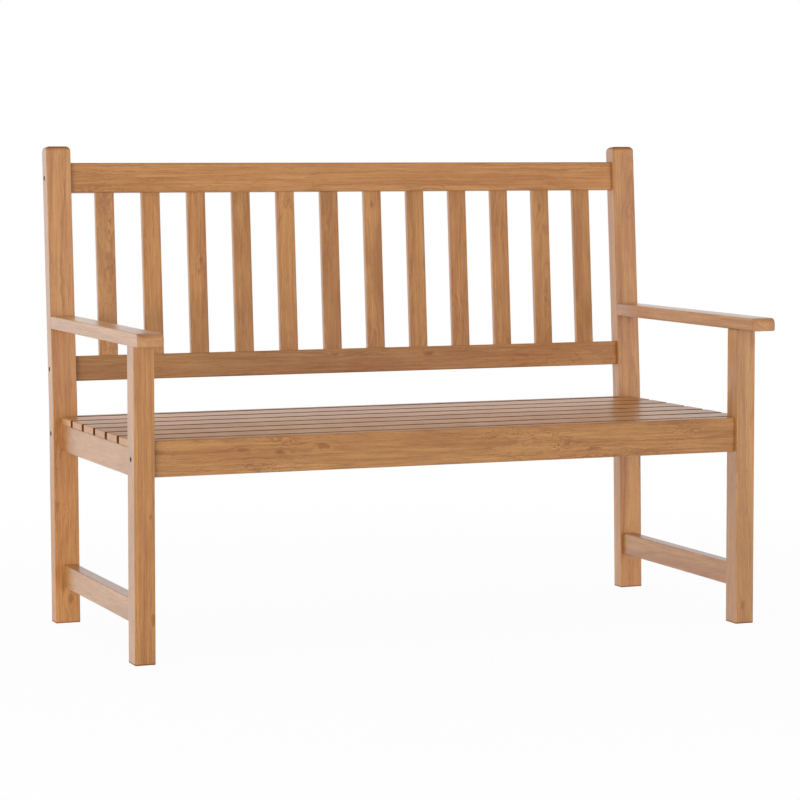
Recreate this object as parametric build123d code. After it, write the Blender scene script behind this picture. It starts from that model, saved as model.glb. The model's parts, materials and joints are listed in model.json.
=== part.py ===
"""Slatted garden bench for two, in millimetres.

+Z is up, +X is to the right as seen from the front, and the front faces -Y.
The origin lies on the floor, in the middle of the bench's outline.
"""
from build123d import *
from math import cos, sin, tan, radians
import os

# Whole bench
inner_width = 1127.0          # clear width between the two end frames
frame_depth = 489.0           # fronts of the legs to the fronts of the posts at their bend
seat_height = 385.5           # floor to the tops of the seat slats
lower_lean = 1.54             # degrees that the posts lean back below the bend
upper_lean = 4.41             # degrees that they lean back above it

# End frames
leg_width = 37.0
leg_depth = 40.0
post_width = 47.0
post_thickness = 31.0
post_top_rise = 31.0          # posts above the top rail
post_top_round = 9.0          # on all four sides of the top
bend_rise = 16.5              # bend of the posts above the seat
bend_radius = 400.0
side_thickness = 25.0         # side rails, stretchers and bearer
stretcher_height = 42.0
stretcher_rise = 68.0         # floor to the underside of a stretcher

# Armrests
arm_thickness = 24.0
arm_rise = 188.0              # seat to the top of an armrest
arm_overhang = 57.0           # past the front of the leg
arm_upper_round = 10.5        # top edge of the front end
arm_lower_round = 3.5         # bottom edge of the front end
arm_side_round = 3.0

# Long rails
seat_rail_height = 63.5       # front and rear seat rails, level with the slats
front_rail_thickness = 25.0
back_rail_thickness = 21.0    # rear seat rail and both rails of the back
rail_setback = 8.0            # behind the front face of the leg or post
top_rail_height = 56.0
lower_rail_height = 47.0
lower_rail_gap = 65.5         # open gap between the seat and the lower rail

# Back slats
back_slat_count = 12
back_slat_length = 305.5      # between the two rails
back_slat_width = 36.0
back_slat_thickness = 12.0
back_slat_margin = 49.5       # post to the first slat

# Seat slats, and the bearer under their middle
seat_slat_count = 6
seat_slat_thickness = 13.5
seat_slat_gap = 13.1
seat_slat_front_gap = 4.0     # behind the front leg
seat_slat_rear_gap = 7.0      # in front of the back post
seat_slat_proud = 2.0         # past the outer face of the side rail
bearer_height = 40.0

# Softened edges
edge_round = 2.0
foot_round = 1.5

# Stub tenons, and the room they have in their mortises
tenon_thickness = 10.0
tenon_shoulder = 7.0          # above and below a tenon
side_tenon_depth = 12.0
stretcher_tenon_depth = 15.0
bearer_tenon_depth = 10.0
slat_tenon_depth = 10.0
slat_tenon_cheek = 2.0        # in front of and behind a back slat's tenon
slat_tenon_shoulder = 4.0     # at each side of it
tenon_side_room = 0.1
tenon_end_room = 0.8

# Bolts that draw the long rails to the end frames
bolt_diameter = 5.0
bolt_length = 70.0
bolt_recess = 8.0             # outer face of the leg or post to the head's seat
bolt_hole_room = 0.4
bolt_tip_room = 3.0
head_diameter = 8.5
head_height = 5.0
head_room = 0.25
socket_width = 4.0            # across the flats
socket_depth = 2.5

# Barrel nuts
nut_diameter = 10.0
nut_length = 14.0
nut_from_tip = 8.0            # tip of the bolt to the nut's axis
nut_room = 0.15
nut_thread_room = 0.1

# Dowels, the same size at the rails and at the armrests
dowel_diameter = 8.0
dowel_length = 30.0
dowel_point = 1.0             # chamfer at both ends
dowel_room = 0.1
dowel_end_room = 0.4
rail_dowel_spacing = 26.0
leg_dowel_spacing = 18.0
post_dowel_spacing = 24.0

# Screws that hold the seat slats from below
screw_diameter = 4.0
screw_length = 35.0
screw_grip = 25.0             # wood between the screw's head and the slat
screw_head_diameter = 8.0
screw_head_height = 3.0
screw_recess_diameter = 9.0
screw_room = 0.15

overrun = 5.0                 # how far a cutter runs past the face it enters

# Places worked out from the sizes
LOWER = radians(lower_lean)
UPPER = radians(upper_lean)
SIDES = {"left": -1, "right": 1}

inner_face = inner_width / 2
leg_outer = inner_face + leg_width
post_outer = inner_face + post_width
leg_middle = (inner_face + leg_outer) / 2
post_middle = (inner_face + post_outer) / 2
slat_end = leg_middle + side_thickness / 2 + seat_slat_proud

seat_rail_bottom = seat_height - seat_rail_height
slat_seat = seat_height - seat_slat_thickness
bend_height = seat_height + bend_rise
arm_top = seat_height + arm_rise
arm_bottom = arm_top - arm_thickness


def up_the_lean(height, lean):
    """Distance from the bend to where a back rail's front face has a height above the floor."""
    return (height - bend_height + rail_setback * sin(lean)) / cos(lean)


# Up the back from the bend: the lower rail, the slats, the top rail and the tops of the posts
lower_rail_bottom = up_the_lean(seat_height + lower_rail_gap, UPPER)
lower_rail_top = lower_rail_bottom + lower_rail_height
top_rail_bottom = lower_rail_top + back_slat_length
top_rail_top = top_rail_bottom + top_rail_height
post_reach = top_rail_top + post_top_rise
rear_rail_top = up_the_lean(seat_height, LOWER)

# The seat slats share out the depth between the legs and the posts
seat_depth = frame_depth - leg_depth - bend_rise * tan(LOWER)
slatted_depth = seat_depth - seat_slat_front_gap - seat_slat_rear_gap
seat_slat_pitch = (slatted_depth + seat_slat_gap) / seat_slat_count
seat_slat_width = seat_slat_pitch - seat_slat_gap

# The outline runs from the fronts of the armrests to the rounded tops of the posts
rear_reach = frame_depth + post_top_round + (
    (post_reach - post_top_round) * sin(UPPER) + (post_thickness - post_top_round) * cos(UPPER))
leg_front = (arm_overhang - rear_reach) / 2
leg_rear = leg_front + leg_depth
arm_front = leg_front - arm_overhang
bend_front = leg_front + frame_depth
front_rail_front = leg_front + rail_setback
front_rail_rear = front_rail_front + front_rail_thickness

# Frames that lean with the posts: Y runs back from the posts' front face, Z up from the bend
lower_back = Pos(0, bend_front, bend_height) * Rot(-lower_lean, 0, 0)
upper_back = Pos(0, bend_front, bend_height) * Rot(-upper_lean, 0, 0)


def post_front(height):
    """Y of the posts' front face at a height above the floor."""
    lean = UPPER if height > bend_height else LOWER
    return bend_front + (height - bend_height) * tan(lean)


def rear_rail_front(height):
    """Y of the rear seat rail's front face at a height above the floor."""
    return post_front(height) + rail_setback / cos(LOWER)


# Each long rail: its middle, its height, its thickness and the outer face that it is bolted from
back_rail_middle = rail_setback + back_rail_thickness / 2
front_rail_middle = front_rail_front + front_rail_thickness / 2
LONG_RAILS = {
    "front_seat_rail": (
        Pos(0, front_rail_middle, seat_height - seat_rail_height / 2),
        seat_rail_height, front_rail_thickness, leg_outer),
    "rear_seat_rail": (
        lower_back * Pos(0, back_rail_middle, rear_rail_top - seat_rail_height / 2),
        seat_rail_height, back_rail_thickness, post_outer),
    "back_lower_rail": (
        upper_back * Pos(0, back_rail_middle, lower_rail_top - lower_rail_height / 2),
        lower_rail_height, back_rail_thickness, post_outer),
    "back_top_rail": (
        upper_back * Pos(0, back_rail_middle, top_rail_top - top_rail_height / 2),
        top_rail_height, back_rail_thickness, post_outer),
}

first_back_slat = back_slat_margin + back_slat_width / 2 - inner_face
back_slat_pitch = -2 * first_back_slat / (back_slat_count - 1)
back_slat_places = [first_back_slat + i * back_slat_pitch for i in range(back_slat_count)]

front_seat_slat = leg_rear + seat_slat_front_gap + seat_slat_width / 2
seat_slat_places = [front_seat_slat + i * seat_slat_pitch for i in range(seat_slat_count)]
screw_rows = (-leg_middle, 0, leg_middle)


# Plain shapes
def rod_x(diameter, near, far):
    """Round bar along X."""
    return Pos((near + far) / 2, 0, 0) * Rot(0, 90, 0) * Cylinder(diameter / 2, abs(far - near))


def rod_y(diameter, near, far):
    """Round bar along Y."""
    return Pos(0, (near + far) / 2, 0) * Rot(90, 0, 0) * Cylinder(diameter / 2, abs(far - near))


def rod_z(diameter, near, far):
    """Round bar along Z."""
    return Pos(0, 0, (near + far) / 2) * Cylinder(diameter / 2, abs(far - near))


def side_shape(points, low, high, radii=()):
    """Side view in Y and Z, carried along X. Each corner has its radius, 0 where it stays sharp."""
    face = Plane.YZ * Polygon(*points, align=None)
    for point, radius in zip(points, radii):
        if radius:
            face = fillet(face.vertices().sort_by_distance((0, *point))[0], radius)
    return Pos(low, 0, 0) * extrude(face, high - low, dir=(1, 0, 0))


def both_sides(shape):
    """The two faces of a side shape that look along X."""
    faces = shape.faces().sort_by(Axis.X)
    return faces[0], faces[-1]


def span(side, outer):
    """The two X faces of a leg, post or armrest, the lower one first."""
    return sorted((side * inner_face, side * outer))


# Bars from front to rear
class CrossBar:
    """Bar with stub tenons, square at the front and cut to the lean of what it ends on."""

    def __init__(self, middle, bottom, top, start, end_at, tenon_depth):
        self.middle = middle
        self.bottom = bottom
        self.top = top
        self.start = start
        self.end_at = end_at
        self.tenon_depth = tenon_depth

    def slab(self, low, high, half, reach):
        """Flat bar between two heights that runs on past both ends by its reach."""
        points = [
            (self.start - reach, low), (self.end_at(low) + reach, low),
            (self.end_at(high) + reach, high), (self.start - reach, high)]
        return side_shape(points, self.middle - half, self.middle + half)

    def tenons(self, room=0, end_room=0):
        """Both tenons in one slab: with room all round, it cuts their mortises."""
        low = self.bottom + tenon_shoulder - room
        high = self.top - tenon_shoulder + room
        return self.slab(low, high, tenon_thickness / 2 + room, self.tenon_depth + end_room)

    def mortises(self):
        return self.tenons(tenon_side_room, tenon_end_room)

    def solid(self):
        bar = self.slab(self.bottom, self.top, side_thickness / 2, 0)
        return fillet(bar.edges().filter_by(Axis.Y), edge_round) + self.tenons()


def side_rail_bar(side):
    return CrossBar(side * leg_middle, seat_rail_bottom, slat_seat, leg_rear, post_front, side_tenon_depth)


def stretcher_bar(side):
    top = stretcher_rise + stretcher_height
    return CrossBar(side * leg_middle, stretcher_rise, top, leg_rear, post_front, stretcher_tenon_depth)


def bearer_bar():
    bottom = slat_seat - bearer_height
    return CrossBar(0, bottom, slat_seat, front_rail_rear, rear_rail_front, bearer_tenon_depth)


# Bolts, barrel nuts and dowels, drawn about the middle of a long rail
def bolt_seat(outer):
    """X of the seat of a bolt's head."""
    return outer - bolt_recess


def bolt_tip(outer):
    return bolt_seat(outer) - bolt_length


def nut_axis(outer):
    return bolt_tip(outer) + nut_from_tip


def rail_bolt(side, outer):
    """Bolt with a round head and a six-sided socket, pointing inwards."""
    head_face = bolt_seat(outer) + head_height
    bolt = rod_x(bolt_diameter, side * bolt_seat(outer), side * bolt_tip(outer))
    bolt += rod_x(head_diameter, side * bolt_seat(outer), side * head_face)
    hexagon = Plane.YZ * RegularPolygon(socket_width / 2, 6, major_radius=False)
    socket = extrude(hexagon, side * (socket_depth + overrun))
    return bolt - Pos(side * (head_face - socket_depth), 0, 0) * socket


def barrel_nut(side, outer):
    """Round nut that lies across the bolt."""
    nut = rod_y(nut_diameter, -nut_length / 2, nut_length / 2)
    nut -= rod_x(bolt_diameter + 2 * nut_thread_room, -nut_diameter, nut_diameter)
    return Pos(side * nut_axis(outer), 0, 0) * nut


def dowel():
    """Plain wooden pin along X, its middle at the origin."""
    pin = rod_x(dowel_diameter, -dowel_length / 2, dowel_length / 2)
    return chamfer(pin.edges().filter_by(GeomType.CIRCLE), dowel_point)


def dowel_hole():
    half = dowel_length / 2 + dowel_end_room
    return rod_x(dowel_diameter + 2 * dowel_room, -half, half)


def rail_dowel_places(side):
    return [Pos(side * inner_face, 0, step * rail_dowel_spacing / 2) for step in (-1, 1)]


def bolt_holes(side, outer, thickness):
    """All that is bored in a long rail and in its leg or post at one end."""
    shank = bolt_diameter + 2 * bolt_hole_room
    holes = rod_x(shank, side * (outer + overrun), side * (bolt_tip(outer) - bolt_tip_room))
    holes += rod_x(head_diameter + 2 * head_room, side * bolt_seat(outer), side * (outer + overrun))
    nut_hole = rod_y(nut_diameter + 2 * nut_room, -nut_length / 2, thickness / 2 + overrun)
    holes += Pos(side * nut_axis(outer), 0, 0) * nut_hole
    for place in rail_dowel_places(side):
        holes += place * dowel_hole()
    return holes


def bored(piece, side, names):
    """A leg or post after the long rails' holes are bored in it."""
    for name in names:
        middle, height, thickness, outer = LONG_RAILS[name]
        piece -= middle * bolt_holes(side, outer, thickness)
    return piece


# Dowels of the armrests
def leg_dowel_places(side):
    """Upright, where the armrest lies on the leg."""
    middle = (leg_front + leg_rear) / 2
    return [
        Pos(side * leg_middle, middle + step * leg_dowel_spacing / 2, arm_bottom) * Rot(0, 90, 0)
        for step in (-1, 1)]


def post_dowel_places(side):
    """Level, where the armrest butts against the post."""
    level = arm_bottom + arm_thickness / 2
    return [
        Pos(side * post_middle + step * post_dowel_spacing / 2, post_front(level), level) * Rot(0, 0, 90)
        for step in (-1, 1)]


# End frames
def front_leg(side):
    low, high = span(side, leg_outer)
    corners = [(leg_front, 0), (leg_rear, 0), (leg_rear, arm_bottom), (leg_front, arm_bottom)]
    leg = side_shape(corners, low, high)
    leg = fillet(leg.edges().filter_by(Axis.Z), edge_round)
    leg = fillet(leg.faces().sort_by(Axis.Z)[0].edges(), foot_round)
    leg = bored(leg, side, ["front_seat_rail"])
    for place in leg_dowel_places(side):
        leg -= place * dowel_hole()
    return leg - side_rail_bar(side).mortises() - stretcher_bar(side).mortises()


def post_corners():
    """Side view of a back post: foot, bend and top at the front, then down the rear."""
    middle_lean = (LOWER + UPPER) / 2
    bend_across = post_thickness / cos((UPPER - LOWER) / 2)
    top_front = bend_front + post_reach * sin(UPPER)
    top_height = bend_height + post_reach * cos(UPPER)
    return [
        (post_front(0), 0),
        (bend_front, bend_height),
        (top_front, top_height),
        (top_front + post_thickness * cos(UPPER), top_height - post_thickness * sin(UPPER)),
        (bend_front + bend_across * cos(middle_lean), bend_height - bend_across * sin(middle_lean)),
        (post_front(0) + post_thickness / cos(LOWER), 0)]


def back_post(side):
    low, high = span(side, post_outer)
    radii = [0, bend_radius + post_thickness, 0, 0, bend_radius, 0]
    post = side_shape(post_corners(), low, high, radii)
    post = fillet(post.faces().sort_by(Axis.Z)[-1].edges(), post_top_round)
    near, far = both_sides(post)
    post = fillet(near.edges().sort_by(Axis.Z)[1:-1] + far.edges().sort_by(Axis.Z)[1:-1], edge_round)
    post = fillet(post.faces().sort_by(Axis.Z)[0].edges(), foot_round)
    post = bored(post, side, ["rear_seat_rail", "back_lower_rail", "back_top_rail"])
    for place in post_dowel_places(side):
        post -= place * dowel_hole()
    return post - side_rail_bar(side).mortises() - stretcher_bar(side).mortises()


def armrest(side):
    low, high = span(side, post_outer)
    corners = [
        (arm_front, arm_bottom), (post_front(arm_bottom), arm_bottom),
        (post_front(arm_top), arm_top), (arm_front, arm_top)]
    arm = side_shape(corners, low, high, [arm_lower_round, 0, 0, arm_upper_round])
    near, far = both_sides(arm)
    arm = fillet(near.edges().sort_by(Axis.Y)[:-1] + far.edges().sort_by(Axis.Y)[:-1], arm_side_round)
    for place in leg_dowel_places(side) + post_dowel_places(side):
        arm -= place * dowel_hole()
    return arm


# Long rails and slats
def long_rail(name):
    middle, height, thickness, outer = LONG_RAILS[name]
    rail = Box(inner_width, thickness, height)
    rail = fillet(rail.edges().filter_by(Axis.X), edge_round)
    for side in SIDES.values():
        rail -= bolt_holes(side, outer, thickness)
    return middle * rail


def back_board(place, side_cut, face_cut, reach):
    """Upright board between the rails of the back, narrowed by its cuts, run on by its reach."""
    middle = (lower_rail_top + top_rail_bottom) / 2
    length = top_rail_bottom - lower_rail_top + 2 * reach
    board = Box(back_slat_width - 2 * side_cut, back_slat_thickness - 2 * face_cut, length)
    return board, upper_back * Pos(place, back_rail_middle, middle)


def back_slat(place):
    board, spot = back_board(place, 0, 0, 0)
    board = fillet(board.edges().filter_by(Axis.Z), edge_round)
    tenons, spot = back_board(place, slat_tenon_shoulder, slat_tenon_cheek, slat_tenon_depth)
    return spot * (board + tenons)


def back_slat_mortises(place):
    side_cut = slat_tenon_shoulder - tenon_side_room
    face_cut = slat_tenon_cheek - tenon_side_room
    cutter, spot = back_board(place, side_cut, face_cut, slat_tenon_depth + tenon_end_room)
    return spot * cutter


def back_rail(name):
    rail = long_rail(name)
    for place in back_slat_places:
        rail -= back_slat_mortises(place)
    return rail


def slat_screw():
    """Screw that points up, its origin at the underside of the slat."""
    screw = rod_z(screw_diameter, -screw_grip, screw_length - screw_grip)
    return screw + rod_z(screw_head_diameter, -screw_grip, -screw_grip - screw_head_height)


def screw_hole(bar_height):
    """Hole for a screw, with a recess for its head up through the bar."""
    tip = screw_length - screw_grip + screw_room
    hole = rod_z(screw_diameter + 2 * screw_room, -screw_grip - overrun, tip)
    return hole + rod_z(screw_recess_diameter, -screw_grip, -bar_height - overrun)


def screwed(bar, row):
    """A bar after the holes for its row of screws are bored in it."""
    piece = bar.solid()
    for place in seat_slat_places:
        piece -= Pos(row, place, slat_seat) * screw_hole(bar.top - bar.bottom)
    return piece


def seat_slat(place):
    slat = Box(2 * slat_end, seat_slat_width, seat_slat_thickness)
    slat = Pos(0, place, slat_seat + seat_slat_thickness / 2) * fillet(slat.edges(), edge_round)
    for row in screw_rows:
        slat -= Pos(row, place, slat_seat) * screw_hole(screw_grip)
    return slat


# Groups of fasteners
def rail_hardware(make):
    """One solid at each end of each long rail."""
    return [
        middle * make(side, outer)
        for middle, height, thickness, outer in LONG_RAILS.values()
        for side in SIDES.values()]


def rail_dowels():
    return [
        middle * place * dowel()
        for middle, height, thickness, outer in LONG_RAILS.values()
        for side in SIDES.values()
        for place in rail_dowel_places(side)]


def arm_dowels():
    return [
        place * dowel()
        for side in SIDES.values()
        for place in leg_dowel_places(side) + post_dowel_places(side)]


def slat_screws():
    return [Pos(row, place, slat_seat) * slat_screw() for row in screw_rows for place in seat_slat_places]


def bench():
    """Every node's name with its solids."""
    nodes = {}
    for name, side in SIDES.items():
        nodes["front_leg_" + name] = [front_leg(side)]
        nodes["back_post_" + name] = [back_post(side)]
        nodes["side_rail_" + name] = [screwed(side_rail_bar(side), side * leg_middle)]
        nodes["stretcher_" + name] = [stretcher_bar(side).solid()]
        nodes["armrest_" + name] = [armrest(side)]
    nodes["front_seat_rail"] = [long_rail("front_seat_rail") - bearer_bar().mortises()]
    nodes["rear_seat_rail"] = [long_rail("rear_seat_rail") - bearer_bar().mortises()]
    nodes["centre_bearer"] = [screwed(bearer_bar(), 0)]
    nodes["back_lower_rail"] = [back_rail("back_lower_rail")]
    nodes["back_top_rail"] = [back_rail("back_top_rail")]
    for i, place in enumerate(back_slat_places, start=1):
        nodes[f"back_slat_{i:02d}"] = [back_slat(place)]
    for i, place in enumerate(seat_slat_places, start=1):
        nodes[f"seat_slat_{i}"] = [seat_slat(place)]
    nodes["rail_bolts"] = rail_hardware(rail_bolt)
    nodes["barrel_nuts"] = rail_hardware(barrel_nut)
    nodes["rail_dowels"] = rail_dowels()
    nodes["arm_dowels"] = arm_dowels()
    nodes["slat_screws"] = slat_screws()
    return nodes


os.makedirs("parts", exist_ok=True)
for node, solids in bench().items():
    shape = solids[0] if len(solids) == 1 else Compound(children=solids)
    export_step(shape, f"parts/{node}.step")
    print(node, len(solids), "solid" if len(solids) == 1 else "solids")
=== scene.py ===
"""Looks of the slatted garden bench: clear-oiled hardwood boards and dark steel fasteners.

Everything is in metres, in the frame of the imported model: +Z up, front faces -Y.
"""
import json
import math
import random
import bmesh
import bpy
from mathutils import Matrix, Vector

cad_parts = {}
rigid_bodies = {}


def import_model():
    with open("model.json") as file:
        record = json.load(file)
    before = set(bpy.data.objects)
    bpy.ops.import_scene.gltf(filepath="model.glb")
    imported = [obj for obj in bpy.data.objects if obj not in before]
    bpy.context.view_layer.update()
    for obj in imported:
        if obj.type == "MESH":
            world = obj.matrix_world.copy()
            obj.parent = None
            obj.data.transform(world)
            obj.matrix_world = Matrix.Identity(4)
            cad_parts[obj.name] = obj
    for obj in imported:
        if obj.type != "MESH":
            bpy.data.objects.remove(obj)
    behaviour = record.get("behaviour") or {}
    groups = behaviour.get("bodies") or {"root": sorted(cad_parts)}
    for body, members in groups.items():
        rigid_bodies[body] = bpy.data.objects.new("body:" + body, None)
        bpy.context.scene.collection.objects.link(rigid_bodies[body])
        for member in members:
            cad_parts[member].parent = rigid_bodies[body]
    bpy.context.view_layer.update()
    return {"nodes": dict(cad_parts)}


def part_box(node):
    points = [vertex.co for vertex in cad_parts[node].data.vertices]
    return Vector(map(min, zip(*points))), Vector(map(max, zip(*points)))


# The bench's back and seat, as they were built
LOWER_LEAN = math.radians(1.54)       # posts below their bend
UPPER_LEAN = math.radians(4.41)       # posts above it
BEND_HEIGHT = 0.402
SEAT_HEIGHT = 0.3855
POST_THICKNESS = 0.031
BACK_RAIL_THICKNESS = 0.021
REAR_SEAT_RAIL_WIDTH = 0.0655
LOWER_RAIL_WIDTH = 0.047
TOP_RAIL_WIDTH = 0.056
BACK_SLAT_SECTION = (0.012, 0.036)

# The camera, worked out from the straight edges in the photograph
IMAGE_WIDTH = 800
FOCAL_PIXELS = 2827.9
SENSOR = 36.0                         # millimetres, as a camera's data block takes it
CAMERA_PLACE = (-1.9788, -4.8641, 0.8786)
CAMERA_TURN = 0.38388                 # from +Y towards +X, in radians
CAMERA_PITCH = 0.05933                # downwards
SHIFT_X_PIXELS = 1.67
SHIFT_Y_PIXELS = -80.0
CLIP_DISTANCES = (0.1, 200.0)

# The studio: how bright its walls and ceiling are as light, and the ceiling in a reflection
WALL_LIGHT = 0.40
CEILING_LIGHT = 0.30
CEILING_SHINE = 0.20
CEILING_RISE = (0.10, 0.80)           # where the walls turn into the ceiling, as the height on a unit ball
# The floor: half its width, the share of it that glows, and where that grows to all of it
FLOOR_REACH = 30.0
FLOOR_SHOWN = 0.965
FLOOR_SHINE = 1.00
FLOOR_FADE = (0.9, 2.2)
FLOOR_PAINT = (0.88, 0.88, 0.88)
# Each lamp's place, the point that it looks at, its width and height, and its brightness, where white is 1
LAMPS = {
    "key": ((-4.6, -3.4, 0.80), (0.0, 0.0, 0.6), (4.0, 1.5), 10.0),
    "fill": ((3.0, -4.9, 0.80), (0.0, 0.0, 0.6), (3.6, 1.5), 4.1),
    "rear": ((-2.0, 4.5, 1.5), (-0.8, 0.0, 1.0), (4.2, 2.8), 1.3),
    "top": ((0.0, 0.0, 3.6), (0.0, 0.0, 0.0), (3.0, 3.0), 1.3)}

# Colours, as linear light
PALE_WOOD = (0.570, 0.280, 0.094)
WARM_WOOD = (0.400, 0.172, 0.051)
RED_WOOD = (0.400, 0.143, 0.047)
LATE_WOOD = (0.230, 0.080, 0.021)
PORE_WOOD = (0.120, 0.042, 0.012)
KNOT_WOOD = (0.260, 0.086, 0.020)
# Painted shade: the near-black colour laid on the sides in the seat's gaps and in the recesses round the
# bolts
PAINTED_SHADE_WOOD = (0.044, 0.013, 0.005)
PEG_WOOD = (0.520, 0.360, 0.190)
DARK_STEEL = (0.060, 0.056, 0.052)
WORN_STEEL = (0.115, 0.105, 0.095)
WHITE = (1.0, 1.0, 1.0)

# Boards that are lighter or darker than the rest, and boards whose colour is fuller or less full
TONES = {
    "armrest_left": 1.07, "armrest_right": 1.12, "back_lower_rail": 0.87, "back_post_left": 1.06,
    "back_post_right": 1.06, "back_slat_01": 1.03, "back_slat_04": 0.92, "back_slat_06": 0.94,
    "back_slat_12": 0.98, "back_top_rail": 1.03, "front_leg_left": 0.94, "front_seat_rail": 0.93,
    "seat_slat_1": 1.10, "seat_slat_2": 1.14, "seat_slat_3": 1.10, "seat_slat_4": 1.22,
    "seat_slat_5": 1.18, "seat_slat_6": 1.33, "side_rail_left": 1.04}
RICHNESS = {
    "armrest_left": 0.95, "armrest_right": 0.95, "back_post_left": 1.01, "back_post_right": 1.02,
    "back_slat_01": 0.96, "front_leg_left": 1.06}

# Knots where the photograph shows them: along the board, across it, and their size
KNOTS = {
    "back_lower_rail": ((-0.042, 0.012, 0.0045), (0.153, 0.010, 0.0055)),
    "back_post_left": ((-0.354, -0.006, 0.0060),),
    "back_post_right": ((0.150, -0.004, 0.0060),),
    "back_slat_01": ((0.132, -0.005, 0.0035), (0.100, -0.008, 0.0045), (0.078, -0.006, 0.0035)),
    "back_slat_03": ((0.004, 0.000, 0.0060), (0.024, -0.005, 0.0035)),
    "back_slat_07": ((0.127, 0.003, 0.0040),),
    "back_slat_11": ((0.118, 0.004, 0.0045), (-0.067, -0.006, 0.0030)),
    "front_leg_left": ((-0.199, -0.014, 0.0055), (-0.020, -0.010, 0.0030)),
    "front_leg_right": ((-0.240, 0.004, 0.0050),),
    "front_seat_rail": ((-0.400, 0.010, 0.0060), (-0.335, 0.004, 0.0045), (-0.255, 0.012, 0.0060))}
KNOT_STRETCH = 2.5                    # a knot's length to its width
KNOT_SPREAD = 2.6                     # how far the rings bend round it, in its own sizes
KNOT_EDGE = (0.3, 1.1)                # where its colour begins to fade and is gone, in its own sizes
KNOT_ROUGHNESS = 2.4

# What differs by kind of board. The entry with no name is for every other kind.
# Sides that look into the gaps of the seat and get painted shade down to a depth
SHADED_GAP_SIDES = {
    "seat_slat": ((0.0, 1.0, 0.0), (0.0, -1.0, 0.0)), "side_rail": ((0.0, 0.0, 1.0),),
    "front_seat_rail": ((0.0, 1.0, 0.0),), "rear_seat_rail": ((0.0, -1.0, 0.0),),
    "centre_bearer": ((0.0, 0.0, 1.0),), "": ()}
SHADED_GAP_DEPTH = 0.020
# Sides that get painted shade above a height: the dark tops of the posts and the top rail
SHADED_TOP_SIDES = {"back_post": ((0.0, 0.0, 1.0),), "back_top_rail": ((0.0, 0.0, 1.0),), "": ()}
SHADED_TOP_HEIGHT = 0.840
# How dark end grain is; on the back posts it is mostly painted shade on their tops
END_DARKNESS = {"armrest": 0.05, "seat_slat": 0.12, "back_post": 0.85, "": 0.35}
# Painted light: how many times as light a board is low down as it is high up, against the shade under the
# seat, and the heights between which that changes
LOW_PAINTED_LIGHT = {"back_post": 1.12, "": 1.0}
LOW_PAINTED_LIGHT_HEIGHTS = (0.20, 0.60)
# How much lighter a board gets for each metre along it
DRIFTS = {"back_lower_rail": 0.34, "back_top_rail": 0.13, "front_seat_rail": 0.08, "": 0.0}
# Rails whose bolts come out through an upright, and how far the painted shade of the bolt's recess reaches
# from its middle
BOLTED_RAILS = {
    "front_leg": ("front_seat_rail",),
    "back_post": ("back_top_rail", "back_lower_rail", "rear_seat_rail"), "": ()}
BOLT_SHADE_REACH = 0.0050
# Polish low down and high up on the bench, and more of it at the ends and on the narrow sides
POLISH = {
    "front_leg_left": (0.70, 0.90, 0.0, 0.0), "front_leg": (0.65, 0.80, 0.0, 0.0),
    "side_rail": (0.60, 0.60, 0.0, 0.0), "stretcher": (0.55, 0.55, 0.0, 0.0),
    "back_post_right": (0.75, 0.95, 0.0, 0.0), "back_post": (0.05, 0.98, 0.0, 0.0),
    "armrest": (0.65, 0.65, 0.0, 0.0), "seat_slat": (0.0, 0.0, 0.7, 0.0),
    "back_slat": (0.0, 0.0, 0.0, 0.8), "": (0.0, 0.0, 0.0, 0.0)}
POLISH_HEIGHTS = (0.15, 0.50)
POLISH_ROUGHNESS = 0.28
# How curly the figure of the wood is
CURLS = {
    "front_seat_rail": 1.2, "back_lower_rail": 0.8, "back_top_rail": 0.5, "back_slat_01": 0.8,
    "back_slat": 0.25, "front_leg": 0.5, "": 0.4}

# Growth rings: how far their pith lies beside the board, how much it may lean off square,
# its slope along the board, and how far the rings stray in metres
PITH_REACH = (0.040, 0.095)
PITH_LEAN = 0.7
PITH_SLOPE = (0.010, 0.030)
WANDER = 0.016
SWAY = 0.007
RIPPLE = 0.0016
CURLY_RIPPLE = 0.010
RING_DEPTH_SHARE = 0.1                # how fast the lines of the rings change into the board

# Each board's own place in the noise, and the seeds that give it
NOISE_REACH = 9.0
FIRST_SEED = 7000
SEED_STEP = 17
# Noise in a board: changes to the metre along it, into it and across it, then its detail and roughness
BOARD_NOISE = {
    "curly": ((7.0, 16.0, 16.0), 1.0, 0.5), "wander": ((2.6, 13.0, 13.0), 2.0, 0.5),
    "sway": ((11.0, 30.0, 30.0), 2.0, 0.5), "ripple": ((50.0, 120.0, 120.0), 2.0, 0.6),
    "band": ((1.4, 30.0, 30.0), 2.0, 0.5), "cloud": ((10.0, 34.0, 34.0), 3.0, 0.6),
    "streak": ((6.0, 360.0, 360.0), 3.0, 0.65), "fibre": ((24.0, 900.0, 900.0), 2.0, 0.6),
    "pore": ((90.0, 2100.0, 2100.0), 1.0, 0.5), "dash": ((22.0, 420.0, 420.0), 2.0, 0.6),
    "rubbed": ((30.0, 90.0, 90.0), 2.0, 0.5)}
# Noise on its rings: changes to the metre along the board, across the rings and into the board
RING_NOISE = {
    "broad": ((1.6, 85.0, 20.0), 1.0, 0.5), "fine": ((3.5, 270.0, 40.0), 2.0, 0.6),
    "bold": ((2.5, 50.0, 20.0), 1.0, 0.5)}
# Noise in the steel and in the dowels, likewise
STEEL_NOISE = {"marks": ((2600.0, 900.0, 900.0), 2.0), "patches": ((160.0, 160.0, 160.0), 3.0)}
PEG_NOISE = ((120.0, 900.0, 900.0), 3.0, 0.6)
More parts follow.
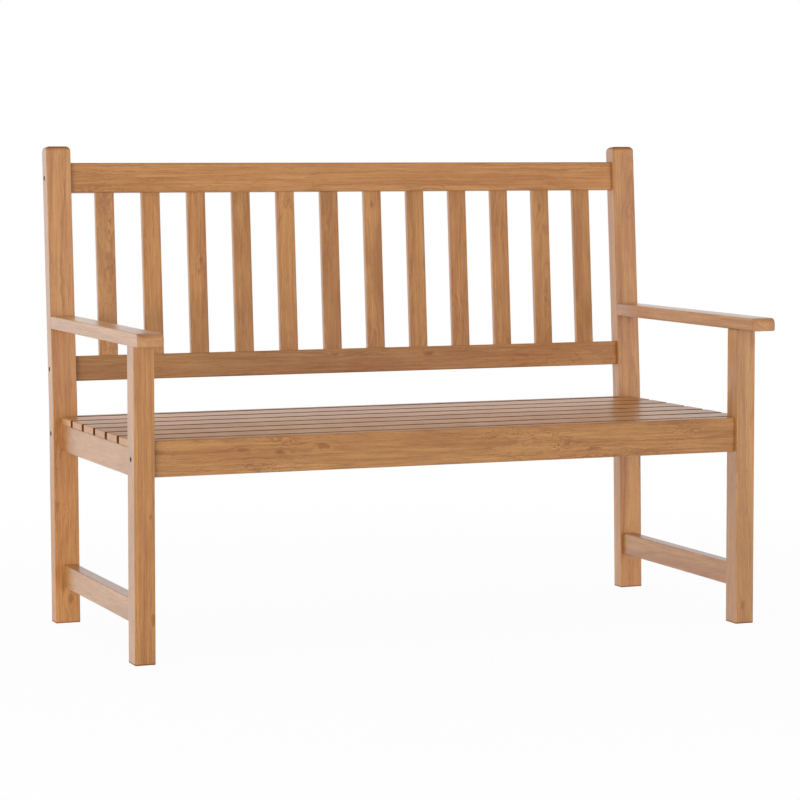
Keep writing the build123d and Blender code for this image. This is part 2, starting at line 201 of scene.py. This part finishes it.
# Where a mark begins in its noise and where it is full
LIMITS = {
    "curly": (0.46, 0.64), "late wood": (0.010, 0.055), "late wood here": (0.42, 0.66),
    "line": (0.006, 0.045), "line here": (0.30, 0.60), "pore": (0.62, 0.70), "dash": (0.58, 0.70),
    "fibre": (0.40, 0.72), "red streak": (0.44, 0.58), "red band": (0.40, 0.66),
    "red cloud": (0.36, 0.62), "pale streak": (0.54, 0.68), "rubbed": (0.35, 0.65),
    "worn steel": (0.35, 0.75), "peg line": (0.3, 0.7)}
# How much of each colour is laid on, and more of it where the wood is curly
SHARES = {
    "red": 0.70, "pale streak": 0.34, "late wood": 0.38, "line": 0.36, "knot": 0.68, "dash": 0.42,
    "fibre": 0.20, "pore": 0.35, "arris": 0.15, "seam": 0.30, "worn": 0.85, "gap": 0.94, "grime": 0.90,
    "peg line": 0.6}
CURLY_SHARES = {"late wood": 0.20, "line": 0.25}
RED_EVERYWHERE = 0.35
# What makes the wood warmer, rougher and higher: a start, and how much of each noise or mark is added
WARMTH = {"start": 0.48, "band": 1.1, "cloud": 0.7, "streak": 2.8, "broad": 0.9}
ROUGHNESS = {
    "start": 0.27, "worn": 0.45, "end": 0.20, "arris": -0.04, "cloud": 0.08, "fibre": 0.06, "pore": 0.10}
RELIEF = {"start": 0.55, "fibre": 0.25, "pore": -0.55, "late wood": -0.18, "dash": -0.20}
STEEL_ROUGHNESS = {"start": 0.34, "patches": 0.16, "marks": 0.08}
PEG_ROUGHNESS = {"start": 0.62, "lines": 0.10}
# How squarely a face must look one way to count: not at all, and fully
END_FACING = (0.55, 0.95)
SHADED_TOP_FACING = (0.30, 0.85)
GAP_FACING = (0.60, 0.90)
# Strips along the edges and at the ends: how far in they begin and are full
ARRIS_STRIP = (0.0024, 0.0006)
SEAM_SHADE_STRIP = (0.006, 0.0005)
DARK_FOOT_HEIGHTS = (0.0008, 0.0040)          # heights between which the feet are darkened
SOFT_EDGE = 0.004                     # over how much height the shaded tops and gap sides begin
BOLT_SHADE_EDGE = 0.0008
WOOD_BUMP = 0.00010
STEEL_BUMP = 0.00002


def of_kind(node, table):
    """A table's value for the first kind whose name the node's name begins with."""
    return next(value for kind, value in table.items() if node.startswith(kind))


# Materials
class Amount:
    """A number that varies over a surface. Python's operators on it add Math nodes."""

    def __init__(self, finish, socket):
        self.finish = finish
        self.socket = socket

    def maths(self, operation, *others):
        values = dict(enumerate((self,) + others))
        return self.finish.amount("ShaderNodeMath", {"operation": operation}, values)

    def __add__(self, other):
        return self.maths("ADD", other)

    def __sub__(self, other):
        return self.maths("SUBTRACT", other)

    def __rsub__(self, other):
        return (self * -1.0) + other

    def __mul__(self, other):
        return self.maths("MULTIPLY", other)

    def __pow__(self, other):
        return self.maths("POWER", other)

    def __abs__(self):
        return self.maths("ABSOLUTE")

    __radd__ = __add__
    __rmul__ = __mul__

    def larger(self, other):
        return self.maths("MAXIMUM", other)

    def between(self, low, high):
        """0 below low, 1 above high, and a smooth rise between them."""
        settings = {"interpolation_type": "SMOOTHSTEP", "clamp": True}
        values = {"Value": self, "From Min": low, "From Max": high}
        return self.finish.amount("ShaderNodeMapRange", settings, values)


def distance(one, other):
    """Length of the diagonal between two amounts at right angles."""
    return (one * one + other * other) ** 0.5


def total(table, amounts):
    """A table's start, and its share of each amount."""
    return sum((amount * table[name] for name, amount in amounts.items()), table["start"])


class Finish:
    """The nodes of a material or a world. Its node method adds any node, its settings first."""

    def __init__(self, owner):
        self.owner = owner
        owner.use_nodes = True
        self.tree = owner.node_tree
        self.tree.nodes.clear()

    def node(self, kind, settings=None, values=None):
        node = self.tree.nodes.new(kind)
        for name, setting in (settings or {}).items():
            setattr(node, name, setting)
        for name, value in (values or {}).items():
            socket = node.inputs[name]
            if isinstance(value, Amount):
                self.tree.links.new(value.socket, socket)
            elif isinstance(value, bpy.types.NodeSocket):
                self.tree.links.new(value, socket)
            else:
                socket.default_value = value
        return node

    def amount(self, kind, settings=None, values=None, output=0):
        return Amount(self, self.node(kind, settings, values).outputs[output])

    def mixed(self, share, one, other):
        """One colour where share is 0, the other where it is 1."""
        # The node's sockets for colours share their names with others, so they go by number
        settings = {"data_type": "RGBA", "clamp_factor": True}
        one, other = (
            value if isinstance(value, bpy.types.NodeSocket) else (*value, 1.0) for value in (one, other))
        return self.node("ShaderNodeMix", settings, {0: share, 6: one, 7: other}).outputs[2]

    def vector(self, operation, one, other, output=0):
        node = self.node("ShaderNodeVectorMath", {"operation": operation}, {0: one, 1: other})
        return node.outputs[output]

    def split(self, vector):
        parts = self.node("ShaderNodeSeparateXYZ", None, {0: vector}).outputs
        return [Amount(self, part) for part in parts]

    def joined(self, *parts):
        return self.node("ShaderNodeCombineXYZ", None, dict(enumerate(parts))).outputs[0]

    def noise(self, vector, changes, detail=2.0, roughness=0.5):
        """Noise from 0 to 1 on a point, with so many changes to the metre along each of its axes."""
        place = self.vector("MULTIPLY", vector, changes)
        values = {"Vector": place, "Scale": 1.0, "Detail": detail, "Roughness": roughness}
        return self.amount("ShaderNodeTexNoise", None, values)

    def surface(self, sockets, height=None, depth=0.0):
        """The shader itself, with a bump of that depth in metres from a height of 0 to 1."""
        values = dict(sockets)
        if height is not None:
            bump = self.node("ShaderNodeBump", None, {"Strength": 1.0, "Distance": depth, "Height": height})
            values["Normal"] = bump.outputs[0]
        shader = self.node("ShaderNodeBsdfPrincipled", None, values)
        self.node("ShaderNodeOutputMaterial", None, {"Surface": shader.outputs[0]})
        return self.owner


def new_finish(name):
    return Finish(bpy.data.materials.new(name))


class Board:
    """One board in its own frame: X along it, Y and Z across it, from its middle."""

    def __init__(self, node, turn=None, section=None):
        low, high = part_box(node)
        self.node = node
        self.turn = turn or Matrix.Identity(3)
        self.middle = (low + high) / 2
        back = self.turn.inverted()
        size = [abs(value) for value in back @ (high - low)]
        if section:
            size[1:] = section
        self.half = [value / 2 for value in size]
        self.bend = 0.0


def up(lean=0.0):
    """Turn that stands a board up, leaning back."""
    return Matrix.Rotation(-lean, 3, "X") @ Matrix.Rotation(-math.pi / 2, 3, "Y")


def leaned(lean):
    """Turn that leans a board back about its length along X."""
    return Matrix.Rotation(-lean, 3, "X")


def backwards():
    """Turn that lays a board from front to rear."""
    return Matrix.Rotation(math.pi / 2, 3, "Z")


def post(node):
    """Board of a bent post, in the frame that halves its bend. Its faces leave that frame by the bend."""
    board = Board(node, up((LOWER_LEAN + UPPER_LEAN) / 2))
    low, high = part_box(node)
    front = low.y + BEND_HEIGHT * math.tan(LOWER_LEAN)
    across = board.turn @ Vector((0.0, POST_THICKNESS / 2, 0.0))
    board.middle = Vector(((low.x + high.x) / 2, front, BEND_HEIGHT)) + across
    board.half = [high.z - BEND_HEIGHT, POST_THICKNESS / 2, (high.x - low.x) / 2]
    board.bend = math.tan((UPPER_LEAN - LOWER_LEAN) / 2)
    return board


def leaned_rail(node, lean, width):
    return Board(node, leaned(lean), (BACK_RAIL_THICKNESS, width))


def boards():
    """Every wooden board of the bench, each with its own frame."""
    found = {}
    for side in ("left", "right"):
        found["front_leg_" + side] = Board("front_leg_" + side, up())
        found["back_post_" + side] = post("back_post_" + side)
        for name in ("side_rail_", "stretcher_", "armrest_"):
            found[name + side] = Board(name + side, backwards())
    found["front_seat_rail"] = Board("front_seat_rail")
    found["rear_seat_rail"] = leaned_rail("rear_seat_rail", LOWER_LEAN, REAR_SEAT_RAIL_WIDTH)
    found["back_lower_rail"] = leaned_rail("back_lower_rail", UPPER_LEAN, LOWER_RAIL_WIDTH)
    found["back_top_rail"] = leaned_rail("back_top_rail", UPPER_LEAN, TOP_RAIL_WIDTH)
    found["centre_bearer"] = Board("centre_bearer", backwards())
    for name in frame["nodes"]:
        if name.startswith("seat_slat_"):
            found[name] = Board(name)
        if name.startswith("back_slat_"):
            found[name] = Board(name, up(UPPER_LEAN), BACK_SLAT_SECTION)
    return found


class Wood:
    """Oiled hardwood of one board: growth rings about a pith beside it, fibres, pores, pale edges of rubbed
    wear and painted highlight, and painted shade.
    """

    def __init__(self, board, seed, tone):
        self.board = board
        self.tone = tone
        self.dice = random.Random(seed)
        self.finish = new_finish("oiled_wood_" + board.node)
        place = self.finish.node("ShaderNodeTexCoord").outputs["Object"]
        self.facing = self.finish.node("ShaderNodeTexCoord").outputs["Normal"]
        _, self.place_y, self.place_z = self.finish.split(place)
        settings = {"vector_type": "TEXTURE"}
        values = {"Vector": place, "Location": board.middle, "Rotation": board.turn.to_euler("XYZ")}
        mapping = self.finish.node("ShaderNodeMapping", settings, values)
        self.along, self.deep, self.wide = self.finish.split(mapping.outputs[0])
        if board.bend:
            self.deep = self.deep - abs(self.along) * board.bend
        self.start = Vector([self.dice.uniform(-NOISE_REACH, NOISE_REACH) for _ in range(3)])
        here = self.finish.joined(self.along, self.deep, self.wide)
        self.grain = self.finish.vector("ADD", here, self.start)

    def own(self, table):
        """A table's value for this kind of board."""
        return of_kind(self.board.node, table)

    def noise(self, name):
        return self.finish.noise(self.grain, *BOARD_NOISE[name])

    def mark(self, name, source):
        """0 where a noise is below the mark's limits, 1 above them."""
        return source.between(*LIMITS[name])

    def stain(self, name, where, colour, curly=False):
        """Lays on a colour where a mark is."""
        share = SHARES[name]
        if curly:
            share = SHARES[name] + CURLY_SHARES[name] * self.curly
        self.colour = self.finish.mixed(where * share, self.colour, colour)

    def turned(self, direction):
        """1 on a face that looks that way, 0 on one at right angles to it, -1 on one that looks away."""
        return Amount(self.finish, self.finish.vector("DOT_PRODUCT", self.facing, direction, 1))

    def grow(self):
        """Growth rings, cut by the board at a slight slope so that they open into long arches, and knots."""
        half = self.board.half
        flat = 0.0 if half[1] < half[2] else math.pi / 2
        bearing = flat + self.dice.uniform(-PITH_LEAN, PITH_LEAN) + self.dice.choice((0.0, math.pi))
        reach = self.dice.uniform(*PITH_REACH)
        slope = self.dice.choice((-1, 1)) * self.dice.uniform(*PITH_SLOPE)
        self.curly = self.mark("curly", self.noise("curly")) * self.own(CURLS)
        ripple = self.noise("ripple") - 0.5
        off_deep = self.deep + self.along * (slope * math.cos(bearing)) - math.cos(bearing) * reach
        off_deep = off_deep + (self.noise("wander") - 0.5) * WANDER
        off_wide = self.wide + self.along * (slope * math.sin(bearing)) - math.sin(bearing) * reach
        radius = distance(off_deep, off_wide) + (self.noise("sway") - 0.5) * SWAY
        radius = radius + ripple * (RIPPLE + CURLY_RIPPLE * self.curly)
        self.knots = 0.0
        for at, across, size in KNOTS.get(self.board.node, ()):
            near = distance((self.along - at) * (1.0 / KNOT_STRETCH), self.wide - across)
            near = near + ripple * size * KNOT_ROUGHNESS
            radius = radius + (1.0 - near.between(0.0, size * KNOT_SPREAD)) * size
            knot = 1.0 - near.between(size * KNOT_EDGE[0], size * KNOT_EDGE[1])
            self.knots = knot.larger(self.knots)
        rings = self.finish.joined(self.along, radius, self.deep * RING_DEPTH_SHARE)
        rings = self.finish.vector("ADD", rings, self.start)
        self.broad, fine, bold = (
            self.finish.noise(rings, *RING_NOISE[name]) for name in ("broad", "fine", "bold"))
        late_wood = 1.0 - self.mark("late wood", abs(self.broad - 0.5))
        self.late_wood = late_wood * self.mark("late wood here", bold)
        line = 1.0 - self.mark("line", abs(fine - 0.5))
        self.line = line * self.mark("line here", 1.0 - bold)

    def colour_grain(self):
        """Slow changes of tone, the lines of the rings, and finer lines along the fibres."""
        band, streak = self.noise("band"), self.noise("streak")
        self.cloud, self.fibre = self.noise("cloud"), self.noise("fibre")
        self.pore = self.mark("pore", self.noise("pore"))
        self.dash = self.mark("dash", self.noise("dash"))
        red = RED_EVERYWHERE + (1.0 - RED_EVERYWHERE) * self.mark("red streak", streak)
        red = red * self.mark("red band", band) * self.mark("red cloud", self.cloud)
        parts = {
            "band": band - 0.5, "cloud": self.cloud - 0.5, "streak": streak - 0.5,
            "broad": self.broad - 0.5}
        warm = total(WARMTH, parts)
        self.colour = self.finish.mixed(warm, PALE_WOOD, WARM_WOOD)
        self.stain("red", red, RED_WOOD)
        self.stain("pale streak", self.mark("pale streak", streak), PALE_WOOD)
        self.stain("late wood", self.late_wood, LATE_WOOD, curly=True)
        self.stain("line", self.line, LATE_WOOD, curly=True)
        self.stain("knot", self.knots, KNOT_WOOD)
        self.stain("dash", self.dash, LATE_WOOD)
        self.stain("fibre", self.mark("fibre", self.fibre), LATE_WOOD)
        self.stain("pore", self.pore, PORE_WOOD)

    def colour_edges(self):
        """Dark end grain, mostly painted shade on the post tops; painted shade at the seams, on the tops, in
        the gaps and round the bolts; dark feet; pale arrises of rubbed wear and painted highlight.
        """
        along_it = self.board.turn @ Vector((1.0, 0.0, 0.0))
        across_it = self.board.turn @ Vector((0.0, 0.0, 1.0))
        self.end = abs(self.turned(along_it)).between(*END_FACING)
        self.side = abs(self.turned(across_it)).between(*END_FACING)
        # Dark end grain; on the back posts' tops it is mostly painted shade
        self.colour = self.finish.mixed(self.end * self.own(END_DARKNESS), self.colour, LATE_WOOD)
        half = self.board.half
        near_deep, near_wide = (
            abs(place).between(reach - ARRIS_STRIP[0], reach - ARRIS_STRIP[1])
            for place, reach in ((self.deep, half[1]), (self.wide, half[2])))
        # Pale strips along the edges: rubbed wear, and painted highlights on the rounded arrises
        self.arris = near_deep * near_wide * self.mark("rubbed", self.noise("rubbed"))
        self.stain("arris", self.arris, PALE_WOOD)
        # Painted shade at the ends of boards, where they meet other parts
        seam = abs(self.along).between(half[0] - SEAM_SHADE_STRIP[0], half[0] - SEAM_SHADE_STRIP[1])
        self.stain("seam", seam * (1.0 - self.end), LATE_WOOD)
        # Darker strip at the very bottom of the feet, then painted shade on the tops of the posts and top
        # rail
        self.worn = 1.0 - self.place_z.between(*DARK_FOOT_HEIGHTS)
        for side in self.own(SHADED_TOP_SIDES):
            high_up = self.place_z.between(SHADED_TOP_HEIGHT, SHADED_TOP_HEIGHT + SOFT_EDGE)
            self.worn = self.worn.larger(self.turned(side).between(*SHADED_TOP_FACING) * high_up)
        self.stain("worn", self.worn, LATE_WOOD)
        # Painted shade on the sides that look into the seat's gaps, under and between the slats
        for side in self.own(SHADED_GAP_SIDES):
            by_the_gap = self.place_z.between(SEAT_HEIGHT - SHADED_GAP_DEPTH, SEAT_HEIGHT - SHADED_GAP_DEPTH + SOFT_EDGE)
            gap = self.turned(side).between(*GAP_FACING) * by_the_gap
            self.stain("gap", gap, PAINTED_SHADE_WOOD)
            self.worn = self.worn.larger(gap)
        # Painted shade in the recess round each bolt that comes out through this upright
        for rail in self.own(BOLTED_RAILS):
            _, bolt_y, bolt_z = sum(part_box(rail), Vector()) / 2
            near = distance(self.place_y - bolt_y, self.place_z - bolt_z)
            grime = 1.0 - near.between(BOLT_SHADE_REACH - BOLT_SHADE_EDGE, BOLT_SHADE_REACH)
            self.stain("grime", grime, PAINTED_SHADE_WOOD)
            self.worn = self.worn.larger(grime)

    def tinted(self):
        """The colour, lighter or darker by board and along it, and lighter low down by painted light."""
        # Painted light: the posts are lighter low down, against the shade under the seat
        low_painted_light = self.own(LOW_PAINTED_LIGHT)
        tone = self.tone * (low_painted_light + (1.0 - low_painted_light) * self.place_z.between(*LOW_PAINTED_LIGHT_HEIGHTS))
        tone = tone * (1.0 + self.own(DRIFTS) * self.along)
        richness = RICHNESS.get(self.board.node, 1.0)
        values = {"Saturation": richness, "Value": tone, "Fac": 1.0, "Color": self.colour}
        return self.finish.node("ShaderNodeHueSaturation", None, values).outputs[0]

    def material(self):
        self.grow()
        self.colour_grain()
        self.colour_edges()
        parts = {
            "worn": self.worn, "end": self.end, "arris": self.arris, "cloud": self.cloud - 0.5,
            "fibre": self.fibre, "pore": self.pore}
        rough = total(ROUGHNESS, parts)
        parts = {"fibre": self.fibre, "pore": self.pore, "late wood": self.late_wood, "dash": self.dash}
        relief = total(RELIEF, parts)
        low, high, at_ends, at_sides = self.own(POLISH)
        polish = low + (high - low) * self.place_z.between(*POLISH_HEIGHTS)
        polish = (polish + self.end * at_ends + self.side * at_sides) * (1.0 - self.worn)
        sockets = {
            "Base Color": self.tinted(), "Roughness": rough, "Coat Weight": polish,
            "Coat Roughness": POLISH_ROUGHNESS}
        return self.finish.surface(sockets, relief, WOOD_BUMP)


def dark_steel():
    """Blackened steel with fine turning marks."""
    finish = new_finish("dark_steel")
    place = finish.node("ShaderNodeTexCoord").outputs["Object"]
    marks, patches = (finish.noise(place, *STEEL_NOISE[name]) for name in ("marks", "patches"))
    colour = finish.mixed(patches.between(*LIMITS["worn steel"]), DARK_STEEL, WORN_STEEL)
    rough = total(STEEL_ROUGHNESS, {"marks": marks, "patches": patches})
    sockets = {"Base Color": colour, "Roughness": rough, "Metallic": 1.0}
    return finish.surface(sockets, marks, STEEL_BUMP)


def peg_wood():
    """Pale turned dowel."""
    finish = new_finish("peg_wood")
    place = finish.node("ShaderNodeTexCoord").outputs["Object"]
    lines = finish.noise(place, *PEG_NOISE)
    colour = finish.mixed(lines.between(*LIMITS["peg line"]) * SHARES["peg line"], PEG_WOOD, WARM_WOOD)
    sockets = {"Base Color": colour, "Roughness": total(PEG_ROUGHNESS, {"lines": lines})}
    return finish.surface(sockets, lines, WOOD_BUMP)


def paint(node, material):
    """One material for all of a CAD node."""
    for place in frame["nodes"][node].material_slots:
        place.material = material


# Studio
def shown_to(finish):
    """1 for rays from the camera, and 1 for rays that show the studio at all, straight or in a reflection."""
    rays = finish.node("ShaderNodeLightPath").outputs
    camera_ray, glossy_ray, through_ray = (
        Amount(finish, rays[name]) for name in ("Is Camera Ray", "Is Glossy Ray", "Is Transmission Ray"))
    return camera_ray, camera_ray.larger(glossy_ray).larger(through_ray)


def floor():
    """Wide pale floor that keeps a faint shadow and is clear from below."""
    shape = bmesh.new()
    bmesh.ops.create_grid(shape, x_segments=1, y_segments=1, size=FLOOR_REACH)
    mesh = bpy.data.meshes.new("floor")
    shape.to_mesh(mesh)
    shape.free()
    ground = bpy.data.objects.new("floor", mesh)
    bpy.context.scene.collection.objects.link(ground)
    finish = new_finish("floor_white")
    matt = finish.node("ShaderNodeBsdfDiffuse", None, {"Color": (*FLOOR_PAINT, 1.0)})
    glow = finish.node("ShaderNodeEmission", None, {"Color": (*WHITE, 1.0), "Strength": 1.0})
    camera_ray, seen = shown_to(finish)
    far, side, _ = finish.split(finish.node("ShaderNodeTexCoord").outputs["Object"])
    share = FLOOR_SHOWN + (1.0 - FLOOR_SHOWN) * distance(far, side).between(*FLOOR_FADE)
    share = (FLOOR_SHINE + (share - FLOOR_SHINE) * camera_ray) * seen
    above = finish.node("ShaderNodeMixShader", None, {0: share, 1: matt.outputs[0], 2: glow.outputs[0]})
    from_below = finish.node("ShaderNodeNewGeometry").outputs["Backfacing"]
    clear = finish.node("ShaderNodeBsdfTransparent")
    both = {0: from_below, 1: above.outputs[0], 2: clear.outputs[0]}
    mix = finish.node("ShaderNodeMixShader", None, both)
    finish.node("ShaderNodeOutputMaterial", None, {"Surface": mix.outputs[0]})
    mesh.materials.append(finish.owner)


def walls():
    """White walls under a dimmer ceiling. The camera sees them white all over."""
    finish = Finish(bpy.data.worlds.new("studio_white"))
    bpy.context.scene.world = finish.owner
    _, _, rise = finish.split(finish.node("ShaderNodeTexCoord").outputs["Generated"])
    camera_ray, seen = shown_to(finish)
    ceiling = rise.between(*CEILING_RISE)
    soft = WALL_LIGHT - (WALL_LIGHT - CEILING_LIGHT) * ceiling
    shown = 1.0 - (1.0 - CEILING_SHINE) * ceiling
    strength = soft + (shown - soft) * seen
    strength = strength + (1.0 - strength) * camera_ray
    light = finish.node("ShaderNodeBackground", None, {"Color": (*WHITE, 1.0), "Strength": strength})
    finish.node("ShaderNodeOutputWorld", None, {"Surface": light.outputs[0]})


def lamp(name, place, target, size, glow):
    """Soft light panel that looks at a point. Reflections and the camera don't show it."""
    data = bpy.data.lights.new(name, "AREA")
    data.shape = "RECTANGLE"
    data.size, data.size_y = size
    data.energy = glow * math.pi * size[0] * size[1]
    holder = bpy.data.objects.new(name, data)
    bpy.context.scene.collection.objects.link(holder)
    holder.location = place
    aim = Vector(target) - Vector(place)
    holder.rotation_euler = aim.to_track_quat("-Z", "Y").to_euler()
    holder.visible_camera = False
    holder.visible_glossy = False


def camera():
    data = bpy.data.cameras.new("camera")
    data.sensor_width = SENSOR
    data.lens = FOCAL_PIXELS / IMAGE_WIDTH * SENSOR
    data.shift_x = SHIFT_X_PIXELS / IMAGE_WIDTH
    data.shift_y = SHIFT_Y_PIXELS / IMAGE_WIDTH
    data.clip_start, data.clip_end = CLIP_DISTANCES
    holder = bpy.data.objects.new("camera", data)
    bpy.context.scene.collection.objects.link(holder)
    holder.location = CAMERA_PLACE
    holder.rotation_euler = (math.pi / 2 - CAMERA_PITCH, 0.0, -CAMERA_TURN)
    bpy.context.scene.camera = holder


for leftover in list(bpy.data.objects):
    bpy.data.objects.remove(leftover)
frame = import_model()

bpy.context.scene.view_settings.view_transform = "Standard"
floor()
walls()
camera()
for name, setting in LAMPS.items():
    lamp(name, *setting)

for number, (name, board) in enumerate(sorted(boards().items())):
    wood = Wood(board, FIRST_SEED + number * SEED_STEP, TONES.get(name, 1.0))
    paint(name, wood.material())
for name in ("rail_bolts", "barrel_nuts", "slat_screws"):
    paint(name, dark_steel())
for name in ("rail_dowels", "arm_dowels"):
    paint(name, peg_wood())
